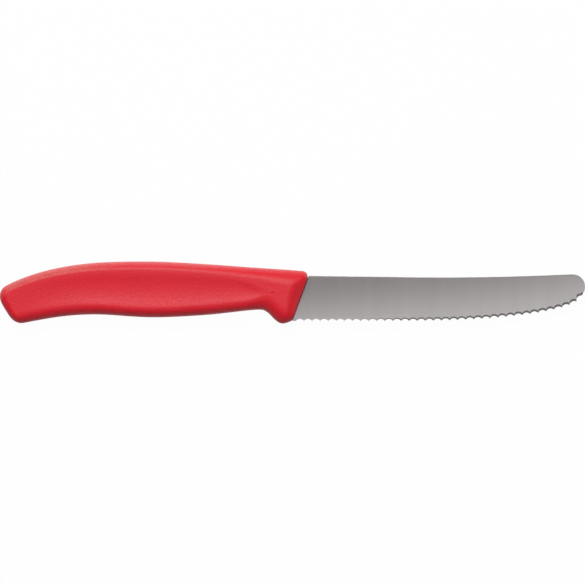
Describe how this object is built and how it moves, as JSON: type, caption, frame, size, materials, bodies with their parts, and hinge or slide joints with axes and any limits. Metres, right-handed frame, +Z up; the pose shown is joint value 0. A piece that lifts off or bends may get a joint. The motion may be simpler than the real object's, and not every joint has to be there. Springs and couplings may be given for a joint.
{
  "type": "table knife",
  "caption": "Table knife with a thin round-tipped steel blade, a wavy serrated edge and a contoured red moulded handle with a finger guard.",
  "frame": {"origin": "middle of the knife's outline, on the surface that it lies on", "axes": "+X from butt to tip, +Y from edge to spine, +Z up out of the ground side of the blade"},
  "size_m": [0.22, 0.0234, 0.0135],
  "materials": {
    "steel": "satin, ground across the blade",
    "red_plastic": "matte, fine grained"
  },
  "bodies": {
    "root": {"blade": "steel", "handle": "red_plastic"}
  },
  "joints": []
}
